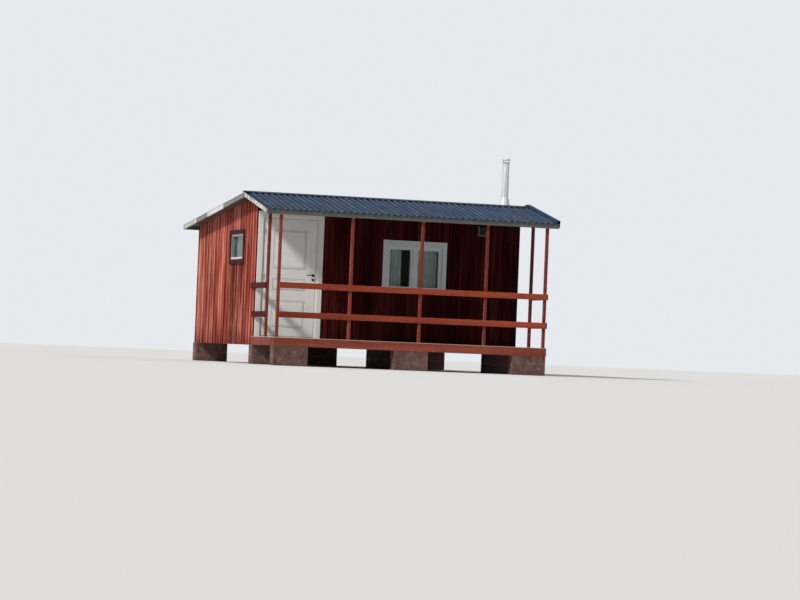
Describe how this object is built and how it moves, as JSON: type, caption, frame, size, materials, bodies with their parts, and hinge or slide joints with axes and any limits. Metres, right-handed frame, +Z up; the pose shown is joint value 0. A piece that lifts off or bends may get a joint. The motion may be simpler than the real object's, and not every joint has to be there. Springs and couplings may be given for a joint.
{
  "type": "small boarded cabin with a railed porch",
  "caption": "Small red timber waterside cabin with a low ribbed-sheet roof carried over a railed front porch, a panelled door, a wide window and a round metal flue.",
  "frame": {"origin": "centre of the roof's plan, on the ground under the piers", "axes": "+X along the front to the right end, where the flue stands; -Y is the porch front; +Z up"},
  "size_m": [5.1834, 6.2832, 3.801],
  "materials": {
    "block_stone": "reddish cement blocks in two courses, rough and stained",
    "raw_timber": "sawn softwood, grey-brown with age",
    "deck_timber": "weathered grey-brown deck boards",
    "floor_timber": "planed softwood floor boards, worn",
    "red_boarding": "matte red lime paint on rough boards with battens, faded and streaked by the sun on the gable",
    "roof_boarding": "sawn boards, dark with age on their underside",
    "roof_metal": "dark blue-grey coated steel sheet, satin, slightly faded",
    "ridge_metal": "dark grey coated steel, satin",
    "grey_trim": "white-grey paint worn to grey wood",
    "red_posts": "faded red paint on planed timber, worn at the edges",
    "red_rails": "red-brown stained boards",
    "white_trim": "white satin paint, slightly dirty",
    "white_door": "white satin paint on a panelled leaf",
    "dark_trim": "dark red paint",
    "black_metal": "black coated metal, satin",
    "hinge_steel": "zinc-plated steel, dull",
    "window_glass": "clear panes",
    "curtain_cloth": "thin off-white cotton",
    "vent_metal": "dark folded sheet with a pale worn edge",
    "flue_metal": "stainless steel, dulled by soot towards the top"
  },
  "bodies": {
    "building": {"piers": "block_stone", "joists": "raw_timber", "deck_rim": "red_boarding", "front_sill": "raw_timber", "porch_deck": "deck_timber", "cabin_floor": "floor_timber", "front_wall_over_door": "red_boarding", "front_wall_middle": "red_boarding", "front_wall_window_bay": "red_boarding", "front_wall_right": "red_boarding", "left_wall_front": "red_boarding", "left_wall_window_bay": "red_boarding", "left_wall_back": "red_boarding", "right_wall": "red_boarding", "back_wall": "red_boarding", "porch_rafters": "raw_timber", "cabin_rafters": "raw_timber", "roof_boards_front": "roof_boarding", "roof_boards_rear": "roof_boarding", "roof_sheet_front": "roof_metal", "roof_sheet_rear": "roof_metal", "ridge_cap": "ridge_metal", "bargeboard_left": "grey_trim", "bargeboard_right": "grey_trim", "fascia_front": "grey_trim", "fascia_rear": "grey_trim", "verge_trim": "roof_metal", "front_posts": "red_posts", "end_posts": "red_posts", "front_rails": "red_rails", "left_rails": "red_rails", "right_rails": "red_rails", "door_frame": "white_trim", "door_casing": "white_trim", "hinge_pins": "hinge_steel", "window_frame": "white_trim", "window_sashes": "white_trim", "window_casing": "white_trim", "gable_window_frame": "white_trim", "gable_window_trim": "dark_trim", "glass_panes": "window_glass", "curtain_rod": "hinge_steel", "curtains": "curtain_cloth", "wall_vent": "vent_metal", "flue_pipe": "flue_metal", "flue_collar": "flue_metal", "flue_cap": "flue_metal"},
    "door": {"door_leaf": "white_door", "door_handle": "black_metal", "hinge_leaves": "hinge_steel"}
  },
  "joints": [
    {"name": "door_hinge", "type": "hinge", "parent": "building", "child": "door", "pos_m": [-2.2084, -1.5232, 1.5195], "axis": [0, 0, 1], "range_deg": [-90, 0]}
  ]
}
